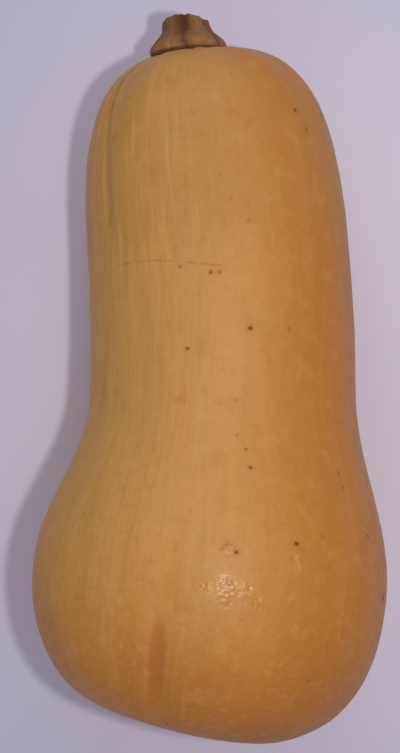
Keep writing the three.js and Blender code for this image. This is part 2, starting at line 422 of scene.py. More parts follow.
def stem_course():
    """The stem's half section: in at the foot, out over the toes, up the shank, and hollow."""
    foot = Vector((STEM_FOOT_RADIUS, -STEM_ROOT))
    toe = Vector((STEM_BASE_RADIUS, STEM_TOE_AT))
    shank = Vector((STEM_SHANK_RADIUS, STEM_SHANK_AT))
    rim = Vector((STEM_SHANK_RADIUS - STEM_EDGE, STEM_LENGTH))
    pith = Vector((0, STEM_LENGTH - STEM_HOLLOW_DEPTH))
    hollow = Vector((STEM_HOLLOW_RADIUS, pith.y))
    return Course(
        (foot, foot + STEM_AFTER_FOOT, toe - STEM_BEFORE_TOE, toe),
        (toe, toe + STEM_AFTER_TOE, shank - STEM_BEFORE_SHANK, shank),
        (shank, shank + STEM_AFTER_SHANK, rim + STEM_BEFORE_RIM, rim),
        (rim, rim - STEM_AFTER_RIM, hollow, pith),
    )


def stem_ridges(direction, angle, rise):
    """How far up a ridge a point is, from -1 in a hollow to 1, and how deep in the groove."""
    towards_left = max(-math.cos(angle), 0)
    wander_place = direction * STEM_WANDERS_ROUND + Vector((0, rise * STEM_WANDERS_UP, 0))
    wandered = angle + STEM_WANDER * noise.noise(wander_place)
    wave = abs(math.cos(STEM_RIDGES * (wandered - STEM_RIDGE_ANGLE) / 2))
    ridge = (2 * wave**STEM_RIDGE_BREADTH - 1) * (1 - STEM_RIDGE_FADE * towards_left)
    groove = hill(around(STEM_GROOVE_ANGLE, wandered, 1), STEM_GROOVE_WIDTH)
    return ridge, groove * smooth(rise, STEM_GROOVE_STARTS, STEM_GROOVE_FULL)


def stem_width(across, height, direction, angle, rise):
    """How far a point is from the stem's own line, and how far up a ridge."""
    ridge, groove = stem_ridges(direction, angle, rise)
    towards_left = max(-math.cos(angle), 0)
    depth = STEM_RIDGE_AT_BASE + (STEM_RIDGE_AT_END - STEM_RIDGE_AT_BASE) * rise
    spread = STEM_SPREAD * hill(rise - STEM_SPREAD_AT, STEM_SPREAD_REACH) * towards_left
    fibre_place = direction * FIBRES_ROUND + Vector((0, height * FIBRES_UP, 0))
    lump_place = direction * LUMPS_ROUND + Vector((0, height * LUMPS_UP, LUMPS_SHIFT))
    fibres = FIBRE_HEIGHT * noise.noise(fibre_place) + LUMP_HEIGHT * noise.noise(lump_place)
    width = across * (1 + depth * ridge + spread - STEM_GROOVE_DEPTH * groove)
    return width + min(across / STEM_SHANK_RADIUS, 1) * fibres, ridge


def stem_drop(across, width, direction, angle, rise):
    """How much lower a point lies than on a plain stem: off the crown, torn, or on the right."""
    inside = min(across / STEM_SHANK_RADIUS, 1)
    from_crown = (width * math.cos(angle) - STEM_CROWN_AT) / STEM_SHANK_RADIUS
    drop = min(STEM_CROWN_DROP * from_crown**2, STEM_CROWN_MOST) * rise**4
    torn = TEAR_HEIGHT * noise.noise(direction * TEARS_ROUND * inside + TEARS_SHIFT)
    torn += SPLINTER_HEIGHT * noise.noise(direction * SPLINTERS_ROUND * inside + SPLINTERS_SHIFT)
    foot = across * max(math.cos(angle), 0) / STEM_BASE_RADIUS
    return drop - rise**6 * torn + STEM_FOOT_DROP * foot * (1 - rise) ** 2


def stem_tone(ridge, angle, rise):
    """How pale the wood is there, from about -3 to 2."""
    tan_ridge = hill(around(TAN_RIDGE_ANGLE, angle, 1), TAN_RIDGE_WIDTH)
    tan_ridge *= smooth(rise, TAN_RIDGE_STARTS, TAN_RIDGE_FULL)
    hollow = hill(around(STEM_GROOVE_ANGLE, angle, 1), DARK_HOLLOW_WIDTH)
    hollow *= smooth(rise, DARK_HOLLOW_STARTS, DARK_HOLLOW_FULL)
    return RIDGE_TONE * ridge - HOLLOW_TONE * hollow + tan_ridge


def make_stem():
    """The woody stem: five ridges that end in toes on the fruit, and a torn end."""
    bm, _ = spun(stem_course(), STEM_RINGS, STEM_SEGMENTS)
    look = bm.verts.layers.float_vector.new("look")
    turn = Euler((STEM_RISE, 0, STEM_TILT), "XYZ").to_matrix()
    for vert in bm.verts:
        across, height = math.hypot(vert.co.x, vert.co.z), vert.co.y
        angle = math.atan2(vert.co.z, vert.co.x)
        direction = Vector((math.cos(angle), 0, math.sin(angle)))
        rise = min(max(height / STEM_LENGTH, 0), 1)
        width, ridge = stem_width(across, height, direction, angle, rise)
        drop = stem_drop(across, width, direction, angle, rise)
        place = turn @ (direction * width + Vector((0, height - drop, 0)))
        vert.co = (place + STEM_END + STEM_OFFSET) * MM
        inside = min(across / STEM_SHANK_RADIUS, 1)
        vert[look] = (stem_tone(ridge, angle, rise), rise, inside)
    piece = finish_mesh(bm, "squash_stem")
    bm.free()
    return piece


class Link:
    """One output of a node. Sums and products of links add Math nodes."""

    def __init__(self, paint, socket):
        self.paint = paint
        self.socket = socket

    def _math(self, operation, *values):
        return self.paint.node(
            "ShaderNodeMath", {"operation": operation}, dict(enumerate(values))
        )

    def __add__(self, other):
        return self._math("ADD", self, other)

    def __radd__(self, other):
        return self._math("ADD", other, self)

    def __sub__(self, other):
        return self._math("SUBTRACT", self, other)

    def __rsub__(self, other):
        return self._math("SUBTRACT", other, self)

    def __mul__(self, other):
        return self._math("MULTIPLY", self, other)

    def __rmul__(self, other):
        return self._math("MULTIPLY", other, self)

    def __truediv__(self, other):
        return self._math("DIVIDE", self, other)

    def output(self, name):
        """Another output of the same node."""
        return Link(self.paint, self.socket.node.outputs[name])

    def most(self, other):
        """The larger of the two."""
        return self._math("MAXIMUM", self, other)

    def least(self, other):
        """The smaller of the two."""
        return self._math("MINIMUM", self, other)

    def over(self, ends, unit=1):
        """0 at the first of two ends in that unit, 1 at the second, and a smooth climb between."""
        return self.paint.node(
            "ShaderNodeMapRange",
            {"interpolation_type": "SMOOTHSTEP"},
            {"Value": self, "From Min": ends[0] * unit, "From Max": ends[1] * unit},
        )


class Paint:
    """A material under construction."""

    def __init__(self, name):
        self.material = bpy.data.materials.new(name)
        self.material.use_nodes = True
        self.tree = self.material.node_tree
        self.tree.nodes.clear()

    def node(self, kind, settings, sockets, output=0):
        """Adds a node with those settings and socket values or links, and gives one output."""
        made = self.tree.nodes.new(kind)
        for name, value in settings.items():
            if name == "stops":
                ramp = made.color_ramp
                while len(ramp.elements) < len(value):
                    ramp.elements.new(1)
                for element, (position, colour) in zip(ramp.elements, value):
                    element.position = position
                    element.color = (*colour, 1)
            else:
                setattr(made, name, value)
        for name, value in sockets.items():
            socket = made.inputs[name]
            if isinstance(value, Link):
                self.tree.links.new(value.socket, socket)
            elif isinstance(value, tuple) and socket.type == "RGBA":
                socket.default_value = (*value, 1)
            else:
                socket.default_value = value
        return Link(self, made.outputs[output]) if made.outputs else None

    def vector(self, operation, first, second, output=0):
        """A Vector Math node on two vectors."""
        settings = {"operation": operation}
        return self.node("ShaderNodeVectorMath", settings, {0: first, 1: second}, output)

    def scaled(self, vector, share):
        """A vector times a number."""
        sockets = {0: vector, "Scale": share}
        return self.node("ShaderNodeVectorMath", {"operation": "SCALE"}, sockets)

    def distance(self, first, second):
        """How far apart two places are."""
        return self.vector("DISTANCE", first, second, "Value")

    def noise(self, place, swells, detail=2.0, roughness=0.5, distortion=0.0, output=0):
        """Noise from 0 to 1, with so many swells to a metre, or so many along each axis."""
        if not isinstance(swells, tuple):
            swells = (swells, swells, swells)
        sockets = {"Vector": self.vector("MULTIPLY", place, swells), "Scale": 1.0}
        sockets |= {"Detail": detail, "Roughness": roughness, "Distortion": distortion}
        return self.node("ShaderNodeTexNoise", {}, sockets, output)

    def blend(self, share, first, second):
        """A colour between two others."""
        return self.node(
            "ShaderNodeMix", {"data_type": "RGBA"}, {0: share, 6: first, 7: second}, 2
        )

    def parts(self, vector):
        """The three numbers of a vector."""
        return [
            self.node("ShaderNodeSeparateXYZ", {}, {0: vector}, axis) for axis in range(3)
        ]

    def attribute(self, name):
        """A vector kept on the mesh."""
        return self.node("ShaderNodeAttribute", {"attribute_name": name}, {}, "Vector")

    def place(self):
        """Where the point is on the object, in metres."""
        return self.node("ShaderNodeTexCoord", {}, {}, "Object")

    def bump(self, height, distance, strength=1.0, under=None):
        """A normal bumped by a height from 0 to 1 that stands for that distance in millimetres."""
        sockets = {"Height": height, "Distance": distance * MM, "Strength": strength}
        if under is not None:
            sockets["Normal"] = under
        return self.node("ShaderNodeBump", {}, sockets)

    def surface(self, **sockets):
        """Ends the material in one Principled shader."""
        named = {name.replace("_", " "): value for name, value in sockets.items()}
        shader = self.node("ShaderNodeBsdfPrincipled", {}, named)
        self.node("ShaderNodeOutputMaterial", {}, {"Surface": shader})
        return self.material


# The rind's colours.
TAN = (0.595, 0.290, 0.068)
OCHRE = (0.535, 0.270, 0.055)
ORANGE = (0.535, 0.200, 0.024)
BULB_ORANGE = (0.485, 0.174, 0.012)
# Painted reflection of the lavender floor, with painted edge shade, along the fruit's right flank.
RIM_REFLECTION_AND_SHADE = (0.430, 0.180, 0.055)
SHOULDER_TAN = (0.490, 0.232, 0.045)
# Painted shade: the rind is darkened towards the blossom end, more on the right, for the light
# falling off there.
BLOSSOM_END_PAINTED_SHADE = (0.380, 0.126, 0.018)
PALE_STREAK = (0.635, 0.350, 0.095)
GREEN_STREAK = (0.370, 0.215, 0.050)
GREY_STREAK = (0.500, 0.300, 0.105)
CREASE_STAIN = (0.400, 0.128, 0.017)
FURROW_GREEN = (0.250, 0.130, 0.022)
GROUND_SPOT = (0.660, 0.420, 0.150)
SCAR_BROWN = (0.160, 0.085, 0.040)
SPECK_BROWN = (0.125, 0.045, 0.012)
SPECK_HALO = (0.420, 0.150, 0.018)
SCRATCH_BROWN = (0.200, 0.090, 0.020)
SCRAPE_GREY = (0.620, 0.430, 0.260)

# Where the fields of colour begin and are full: first round the fruit, from -1 on the left or
# underneath to 1 on the right or on top, then along it, from the blossom end.
ORANGE_FIELD = (0.02, 0.62)
OCHRE_FIELD = (-0.30, -0.85)
# Where the painted floor reflection and edge shade on the right flank begin and are full.
RIM_REFLECTION_FIELD = (0.74, 0.95)
UNDERSIDE = (-0.80, -0.97)
BULB_FIELD = (108, 45)
# Where the painted shade at the blossom end begins and is full.
TIP_SHADE_FIELD = (82, 34)
SHOULDER_FIELD = (183, 204)
GROUND_SPOT_START = (35, 60)
GROUND_SPOT_END = (135, 105)

# How much of each field's colour is laid on.
RIM_REFLECTION_SHARE = 0.55
BULB_SHARE = 0.85
TIP_SHADE_SHARE = 0.45
TIP_SHADE_MORE_ON_RIGHT = 0.3
TIP_SHADE_LESS_ON_LEFT = 0.25
SHOULDER_SHARE = 0.6
SHOULDER_LESS_ON_RIGHT = 0.4
GROUND_SPOT_SHARE = 0.8

# How far the fields' edges wander, with the bands along the fruit and with the clouds on it.
BAND_WANDER = 16
CLOUD_WANDER = 10
BULB_WANDER = 40
TIP_SHADE_WANDER = 20
GROUND_SPOT_WANDER = 30
BAND_SWELLS = (60, 60, 6)
CLOUD_SWELLS = 30

# Streaks from the broadest to the finest: the noise's swells to a metre, its detail, roughness and
# distortion, the pale colour, where it begins and is full, and the pale and the green share.
STREAKS = (
    ((110, 110, 14), (1.0, 0.5, 0.0), GREY_STREAK, (0.52, 0.72), 0.30, 0.25),
    ((420, 420, 30), (2.0, 0.6, 0.6), PALE_STREAK, (0.52, 0.74), 0.40, 0.34),
    ((1000, 1000, 55), (2.0, 0.65, 0.0), PALE_STREAK, (0.52, 0.74), 0.30, 0.32),
)
GREEN_SWELL = (0.48, 0.28)
STREAKS_EVERYWHERE = 0.30
STREAKS_ON_LEFT = 0.70
STREAKED_LEFT = (0.18, -0.50)
STREAKED_LEFT_WANDER = 30
STREAKS_THIN_TOWARDS_BULB = (115, 70)
STREAKS_LOST_ON_BULB = 0.35

# The rind's mottling, its patches and its pebbled grain, and where the bulb's own grain begins.
MOTTLE_SWELLS = 650
MOTTLE_DARK = (0.46, 0.22)
MOTTLE_SHARE = 0.20
MOTTLE_MORE_ON_BULB = 0.12
PATCH_SWELLS = 160
PATCH_PALE = (0.53, 0.74)
PATCH_DARK = (0.47, 0.26)
PATCH_SHARE = 0.26
PEBBLE_SWELLS = 430
PEBBLE_PALE = (0.55, 0.75)
PEBBLE_DARK = (0.45, 0.25)
PEBBLE_SHARE = 0.10
BULB_HALF = (125, 85)
BLOSSOM_SCAR_EDGE = (6, 3)
BLOSSOM_SCAR_WANDER = 3

# How high the bumps stand, and how strong they are.
MOTTLE_BUMP = (0.10, 0.6)
STREAK_BUMP = (0.04, 0.5)
PATCH_BUMP = (0.6, 0.5)
PEBBLE_BUMP = (0.55, 1.0)
PEBBLES_ON_BULB = 0.16
RIND_ROUGHNESS = 0.50
RIND_ROUGHNESS_CLOUDS = 0.10
RIND_ROUGHNESS_MOTTLE = 0.12
BLISTER_SHINE = 0.22
RIND_SPECULAR = 0.35
IOR = 1.45

# Marks on top of the rind, by their place over the table: dark specks as x, y, radius and strength.
SPECKS = (
    (12.2, 11.9, 0.65, 0.95),
    (-6.9, 5.8, 0.48, 0.85),
    (11.9, -29.8, 0.50, 0.80),
    (10.6, -24.5, 0.38, 0.55),
    (25.4, -52.0, 0.55, 0.95),
    (27.1, 81.7, 0.65, 0.80),
    (30.7, 75.6, 0.60, 0.70),
    (36.3, 82.6, 0.70, 0.80),
    (0.1, 29.1, 0.50, 0.75),
    (2.8, 29.2, 0.45, 0.60),
    (-9.2, 30.9, 0.42, 0.50),
    (3.3, 59.8, 0.40, 0.35),
    (6.3, 51.9, 0.40, 0.35),
    (11.8, 45.1, 0.55, 0.35),
    (24.1, 11.9, 0.55, 0.35),
    (7.5, -9.8, 0.38, 0.30),
    (7.8, -20.2, 0.38, 0.40),
    (39.4, -32.2, 0.50, 0.45),
    (40.7, -36.6, 0.50, 0.50),
    (54.3, -72.3, 1.00, 0.95),
    (3.5, -115.0, 1.10, 0.90),
    (-12.9, -107.8, 0.70, 0.75),
    (29.0, -93.1, 0.50, 0.50),
    (33.5, -50.3, 0.45, 0.40),
    (7.5, -53.9, 0.60, 0.80),
    (48.7, -51.8, 0.60, 0.60),
)
SPECK_EDGE = (1.6, 0.4)
HALO_EDGE = (3.6, 1.0)
HALO_SHARE = 0.45
# Thin brown scratches, each a run of points.
SCRATCHES = (
    ((-31.0, 30.6), (-29.0, 31.7), (-26.5, 32.5), (-21.6, 33.0), (-16.9, 33.1), (-11.4, 32.8)),
    ((-6.7, 32.3), (-1.5, 31.8), (3.0, 31.1)),
    ((1.6, 72.4), (1.9, 69.8)),
)
SCRATCH_RADIUS = 0.40
SCRATCH_EDGE = (1.3, 0.3)
SCRATCH_BREAKS = (0.30, 0.65)
SCRATCH_SHARE = 0.36
# Pale rubbed places, each from one point to another, with its half width.
SCRAPES = (
    ((20.0, -87.5), (22.1, -86.1), 0.45),
    ((25.3, -55.5), (26.1, -59.4), 0.50),
    ((47.6, -49.4), (48.4, -51.0), 0.50),
)
SCRAPE_EDGE = (1.5, 0.3)
SCRAPE_BREAKS = (0.32, 0.65)
SCRAPE_SHARE = 0.5
SCAR_RING_AT = (4.9, -53.3)
SCAR_RING_RADIUS = 1.9
SCAR_RING_WIDTH = 0.9
SCAR_RING_WANDER = 2.2
SCAR_RING_BREAKS = (0.38, 0.58)
SCAR_RING_SHARE = 0.7
# The marks' worn edges, and what breaks them up.
WEAR = 0.9
WEAR_SWELLS = 800
BREAK_SWELLS = 300
# Specks that no list gives: how many cells to a metre, their edge and which cells hold one.
HIDDEN_SPECK_CELLS = 70
HIDDEN_SPECK_EDGE = (0.035, 0.018)
HIDDEN_SPECK_KINDS = (0.45, 0.75)
HIDDEN_SPECKS_BELOW = (45, 35)
HIDDEN_SPECK_SHARE = 0.7

# Low blisters that catch the light on top of the bulb: x, y and the radius of each cluster.
BLISTERS = (
    (4.9, -64.6, 5.6),
    (-1.2, -64.4, 3.2),
    (10.8, -65.6, 4.0),
    (13.6, -68.2, 2.8),
    (4.9, -53.0, 2.4),
)
BLISTER_EDGE = (1.1, 0.4)
BLISTER_WANDER = 6

# The stain in the bulb's crease.
CREASE_LINE_ANGLE = math.radians(104.5)
CREASE_STAIN_WIDTH = 3.4
CREASE_STAIN_AT = 61
CREASE_STAIN_REACH = 16
CREASE_STAIN_WANDER = 1.2
CREASE_STAIN_EDGE = (1.2, 0.15)
CREASE_STAIN_RIGHT_EDGE = (0.95, 0.55)
CREASE_STAIN_SHARE = 0.35
CREASE_STAIN_MOTTLE = 0.7

# Where the furrow's fine dark line runs, its angle halfway and its drift along the neck, and the
# softer shade beside it.
FURROW_LINE_ANGLE = math.radians(143.4)
FURROW_LINE_AT = 62
FURROW_LINE_DRIFT = -0.095
FURROW_LINE_WANDER = 0.6
FURROW_LINE_SIDES = ((0.9, 0.2), (-0.9, -0.2))
FURROW_SHADE_SIDES = ((3.4, 0.0), (-2.2, 0.0))
FURROW_LINE_FADE = (80, 45)
FURROW_LINE_BREAKS = (0.30, 0.55)
FURROW_LINE_SHARE = 0.8
FURROW_SHADE_SHARE = 0.36
FURROW_START = (10, 26)
FURROW_END = (105, 75)
NEAR_SIDE = (0.0, 0.3)

# A place above the whole squash, to aim marks down from.
ABOVE_SQUASH = 200


def on_skin(skin, x, y):
    """The point on top of the skin, over that place on the table, in metres."""
    above = Vector((x, y, ABOVE_SQUASH)) * MM
    return skin.ray_cast(above, Vector((0, 0, -1)))[0]


def ridge_line(grain, angle, radius):
    """How far round the fruit a point lies from the line at that angle, and which side is near."""
    sideways, upwards, _ = grain
    scale = radius / GRAIN_RADIUS
    across = (upwards * math.cos(angle) - sideways * math.sin(angle)) * scale
    facing = sideways * math.cos(angle) + upwards * math.sin(angle)
    return across, facing.over(NEAR_SIDE, GRAIN_RADIUS * MM)


def along_stroke(paint, place, start, end):
    """How far a point is from the straight stroke between two points."""
    run = end - start
    offset = paint.vector("SUBTRACT", place, tuple(start))
    share = paint.vector("DOT_PRODUCT", offset, tuple(run), "Value") / run.length_squared
    return paint.distance(offset, paint.scaled(tuple(run), share.most(0).least(1)))


def strongest(masks):
    """The strongest of several masks."""
    mask = masks[0]
    for other in masks[1:]:
        mask = mask.most(other)
    return mask


def base_colours(paint, grain, from_blossom, bands, clouds):
    """Tan on top of the neck, ochre to the left, orange to the right and over the bulb, with
    painted shade towards the blossom end and a painted floor reflection with shade on the right
    flank.
    """
    sideways, upwards, _ = grain
    reach = GRAIN_RADIUS * MM
    bands, clouds = bands - 0.5, clouds - 0.5
    wander = bands * (BAND_WANDER * MM) + clouds * (CLOUD_WANDER * MM)
    right = (sideways + wander).over(ORANGE_FIELD, reach)
    far_left = (sideways + wander).over(OCHRE_FIELD, reach)
    far_right = (sideways + wander).over(RIM_REFLECTION_FIELD, reach)
    underneath = (upwards + wander).over(UNDERSIDE, reach)
    bulb = (from_blossom + clouds * (BULB_WANDER * MM)).over(BULB_FIELD, MM)
    tip_shade = (from_blossom + clouds * (TIP_SHADE_WANDER * MM)).over(TIP_SHADE_FIELD, MM)
    tip_shade_share = right * TIP_SHADE_MORE_ON_RIGHT - far_left * TIP_SHADE_LESS_ON_LEFT + TIP_SHADE_SHARE
    shoulder = from_blossom.over(SHOULDER_FIELD, MM) * (1 - right * SHOULDER_LESS_ON_RIGHT)
    resting = (from_blossom + clouds * (GROUND_SPOT_WANDER * MM)).over(GROUND_SPOT_START, MM)
    resting = resting * from_blossom.over(GROUND_SPOT_END, MM) * underneath
    colour = paint.blend(far_left, TAN, OCHRE)
    colour = paint.blend(right, colour, ORANGE)
    # Painted floor reflection and edge shade along the far right flank.
    colour = paint.blend(far_right * RIM_REFLECTION_SHARE, colour, RIM_REFLECTION_AND_SHADE)
    colour = paint.blend(bulb * BULB_SHARE, colour, BULB_ORANGE)
    # Painted shade towards the blossom end, stronger on the right and weaker on the left.
    colour = paint.blend(tip_shade * tip_shade_share, colour, BLOSSOM_END_PAINTED_SHADE)
    colour = paint.blend(shoulder * SHOULDER_SHARE, colour, SHOULDER_TAN)
    return paint.blend(resting * GROUND_SPOT_SHARE, colour, GROUND_SPOT)


def streaks(paint, colour, grain, from_blossom, left):
    """Broken streaks that run from the stem to the blossom end, strongest on the left."""
    on_bulb = from_blossom.over(STREAKS_THIN_TOWARDS_BULB, MM)
    strength = left * STREAKS_ON_LEFT + STREAKS_EVERYWHERE
    strength = strength * (1 - on_bulb * STREAKS_LOST_ON_BULB)
    for swells, grain_of_noise, pale, pale_swell, pale_share, green_share in STREAKS:
        streak = paint.noise(grain, swells, *grain_of_noise)
        colour = paint.blend(streak.over(pale_swell) * strength * pale_share, colour, pale)
        green = streak.over(GREEN_SWELL) * strength * green_share
        colour = paint.blend(green, colour, GREEN_STREAK)
    return colour, streak


def mottling(paint, colour, mottle, patches, pebbles, on_bulb):
    """Pale and dark patches over the whole rind, and the colour of its pebbled grain."""
    pebbled = on_bulb * PEBBLE_SHARE + PEBBLE_SHARE
    mottled = on_bulb * MOTTLE_MORE_ON_BULB + MOTTLE_SHARE
    colour = paint.blend(patches.over(PATCH_PALE) * PATCH_SHARE, colour, PALE_STREAK)
    colour = paint.blend(patches.over(PATCH_DARK) * PATCH_SHARE, colour, SPECK_HALO)
    colour = paint.blend(mottle.over(MOTTLE_DARK) * mottled, colour, SPECK_HALO)
    colour = paint.blend(pebbles.over(PEBBLE_DARK) * pebbled, colour, SPECK_HALO)
    return paint.blend(pebbles.over(PEBBLE_PALE) * pebbled, colour, PALE_STREAK)


def crease_paint(paint, colour, grain, from_blossom, mottle):
    """The stain in the bulb's crease."""
    across, near = ridge_line(grain, CREASE_LINE_ANGLE, BULB_RADIUS)
    across = across + (mottle - 0.5) * (CREASE_STAIN_WANDER * MM)
    sideways = across / (CREASE_STAIN_WIDTH * MM)
    lengthways = (from_blossom - CREASE_STAIN_AT * MM) / (CREASE_STAIN_REACH * MM)
    stain = (sideways * sideways + lengthways * lengthways).over(CREASE_STAIN_EDGE)
    stain = stain * sideways.over(CREASE_STAIN_RIGHT_EDGE) * near
    share = mottle * CREASE_STAIN_MOTTLE + CREASE_STAIN_SHARE
    return paint.blend(stain * share, colour, CREASE_STAIN)


def furrow_paint(paint, colour, grain, from_blossom, mottle):
    """The dark line in the neck's furrow, with a soft shade along it."""
    from_stem = PROFILE.length * MM - from_blossom
    across, near = ridge_line(grain, FURROW_LINE_ANGLE, SHOULDER_RADIUS)
    drift = (from_stem - FURROW_LINE_AT * MM) * FURROW_LINE_DRIFT
    across = across - drift + (mottle - 0.5) * (FURROW_LINE_WANDER * MM)
    shade = across.over(FURROW_SHADE_SIDES[0], MM) * across.over(FURROW_SHADE_SIDES[1], MM)
    line = across.over(FURROW_LINE_SIDES[0], MM) * across.over(FURROW_LINE_SIDES[1], MM)
    line = line * from_stem.over(FURROW_LINE_FADE, MM) * mottle.over(FURROW_LINE_BREAKS)
    window = from_stem.over(FURROW_START, MM) * from_stem.over(FURROW_END, MM) * near
    dark = (line * FURROW_LINE_SHARE).most(shade * FURROW_SHADE_SHARE) * window
    return paint.blend(dark, colour, FURROW_GREEN)


def marks(paint, colour, place, skin):
    """Specks, scratches, rubbed places and a small ring-shaped scar."""
    swirl = paint.noise(place, WEAR_SWELLS, output="Color")
    half = WEAR * MM / 2
    swirl = paint.vector("SUBTRACT", paint.scaled(swirl, WEAR * MM), (half, half, half))
    worn = paint.vector("ADD", place, swirl)
    broken = paint.noise(place, BREAK_SWELLS, 2.0, 0.6)

    spots, halos = [], []
    for x, y, radius, strength in SPECKS:
        away = paint.distance(worn, tuple(on_skin(skin, x, y)))
        spots.append(away.over(SPECK_EDGE, radius * MM) * strength)
        halos.append(away.over(HALO_EDGE, radius * MM) * (strength * HALO_SHARE))
    colour = paint.blend(strongest(halos), colour, SPECK_HALO)

    lines = []
    for scratch in SCRATCHES:
        points = [on_skin(skin, x, y) for x, y in scratch]
        for start, end in zip(points, points[1:]):
            away = along_stroke(paint, worn, start, end)
            lines.append(away.over(SCRATCH_EDGE, SCRATCH_RADIUS * MM))
    scratched = strongest(lines) * broken.over(SCRATCH_BREAKS) * SCRATCH_SHARE
    colour = paint.blend(scratched, colour, SCRATCH_BROWN)

    patches = []
    for start, end, width in SCRAPES:
        away = along_stroke(paint, worn, on_skin(skin, *start), on_skin(skin, *end))
        patches.append(away.over(SCRAPE_EDGE, width * MM))
    rubbed = strongest(patches) * broken.over(SCRAPE_BREAKS) * SCRAPE_SHARE
    colour = paint.blend(rubbed, colour, SCRAPE_GREY)

    away = paint.distance(worn, tuple(on_skin(skin, *SCAR_RING_AT)))
    away = away - SCAR_RING_RADIUS * MM + (broken - 0.5) * (SCAR_RING_WANDER * MM)
    ring = away.over((SCAR_RING_WIDTH, 0.0), MM) * away.over((-SCAR_RING_WIDTH, 0.0), MM)
    ring = ring * broken.over(SCAR_RING_BREAKS) * SCAR_RING_SHARE
    colour = paint.blend(ring, colour, SPECK_HALO)
    return paint.blend(strongest(spots), colour, SPECK_BROWN)


def hidden_specks(paint, colour, place):
    """More specks of the same kind, scattered over the sides and the underside."""
    cells = HIDDEN_SPECK_CELLS
    cell_place = paint.vector("MULTIPLY", place, (cells, cells, cells))
    away = paint.node("ShaderNodeTexVoronoi", {}, {"Vector": cell_place}, "Distance")
    kind = paint.parts(away.output("Color"))[0]
    lower = paint.parts(place)[2].over(HIDDEN_SPECKS_BELOW, MM)
    spot = away.over(HIDDEN_SPECK_EDGE) * kind.over(HIDDEN_SPECK_KINDS) * lower
    return paint.blend(spot * HIDDEN_SPECK_SHARE, colour, SPECK_BROWN)


def blister_mask(paint, place, skin, uneven):
    """1 where the skin is blistered, on top of the bulb."""
    clusters = []
    for x, y, radius in BLISTERS:
        away = paint.distance(place, tuple(on_skin(skin, x, y))) + uneven * (BLISTER_WANDER * MM)
        clusters.append(away.over(BLISTER_EDGE, radius * MM))
    return strongest(clusters)


def skin_paint(skin):
    """The rind: tan to orange, streaked lengthwise, satin, with its marks."""
    paint = Paint("rind")
    place = paint.place()
    grain = paint.attribute("grain")
    sides = paint.parts(grain)
    from_blossom = sides[2]
    on_bulb = from_blossom.over(BULB_HALF, MM)

    bands = paint.noise(grain, BAND_SWELLS)
    clouds = paint.noise(place, CLOUD_SWELLS)
    mottle = paint.noise(place, MOTTLE_SWELLS, 3.0, 0.6)
    patches = paint.noise(place, PATCH_SWELLS, 3.0, 0.6)
    pebbles = paint.noise(place, PEBBLE_SWELLS, 1.0)
    left = sides[0] + (bands - 0.5) * (STREAKED_LEFT_WANDER * MM)
    left = left.over(STREAKED_LEFT, GRAIN_RADIUS * MM)

    colour = base_colours(paint, sides, from_blossom, bands, clouds)
    colour, fine = streaks(paint, colour, grain, from_blossom, left)
    colour = mottling(paint, colour, mottle, patches, pebbles, on_bulb)
    colour = crease_paint(paint, colour, sides, from_blossom, mottle)
    colour = furrow_paint(paint, colour, sides, from_blossom, mottle)
    colour = marks(paint, colour, place, skin)
    colour = hidden_specks(paint, colour, place)
    scar = (from_blossom + (mottle - 0.5) * (BLOSSOM_SCAR_WANDER * MM)).over(BLOSSOM_SCAR_EDGE, MM)
    colour = paint.blend(scar, colour, SCAR_BROWN)

    blisters = blister_mask(paint, place, skin, patches - 0.5)
    pebbled = blisters + on_bulb * PEBBLES_ON_BULB
    normal = paint.bump(mottle, *MOTTLE_BUMP)
    normal = paint.bump(fine, *STREAK_BUMP, normal)
    normal = paint.bump((patches - 0.5) * on_bulb, *PATCH_BUMP, normal)
    normal = paint.bump((pebbles - 0.5) * pebbled, *PEBBLE_BUMP, normal)
    roughness = (clouds - 0.5) * RIND_ROUGHNESS_CLOUDS + RIND_ROUGHNESS
    roughness = roughness + (mottle - 0.5) * RIND_ROUGHNESS_MOTTLE - blisters * BLISTER_SHINE
    return paint.surface(
        Base_Color=colour,
        Roughness=roughness,
        Normal=normal,
        IOR=IOR,
        Specular_IOR_Level=RIND_SPECULAR,
    )


# The stem's colours, from its hollows to its ridges, its own darker and warmer places, and the
# painted shade at its foot.
STEM_WOOD = (
    (0.0, (0.105, 0.036, 0.014)),
    (0.35, (0.180, 0.066, 0.024)),
    (0.65, (0.255, 0.108, 0.038)),
    (1.0, (0.360, 0.185, 0.075)),
)
STEM_SHADE = (0.085, 0.028, 0.012)
STEM_PITH = (0.110, 0.050, 0.022)
TOE_TAN = (0.380, 0.172, 0.042)
TOE_BROWN = (0.330, 0.120, 0.036)
STEM_FIBRE_SWELLS = (1500, 300, 1500)
STEM_LUMP_SWELLS = 420
TONE_OF_RIDGES = 0.22
TONE_OF_FIBRES = 0.55
TONE_OF_LUMPS = 0.5
TONE_SHIFT = 0.08
TOE_PATCHES = (0.4, 0.6)
TOES_BELOW = (0.46, 0.16)
TOES_ON_RIDGES = (-0.6, 0.4)
TOES_SHARE = 0.85
SHADE_BELOW = (0.07, 0.0)
SHADE_SHARE = 0.8
PITH_WITHIN = (0.95, 0.6)
PITH_SHARE = 0.6
FIBRE_BUMP = (0.4, 0.9)
LUMP_BUMP = (0.6, 0.6)
STEM_ROUGHNESS = 0.78
STEM_ROUGHNESS_FIBRES = 0.2


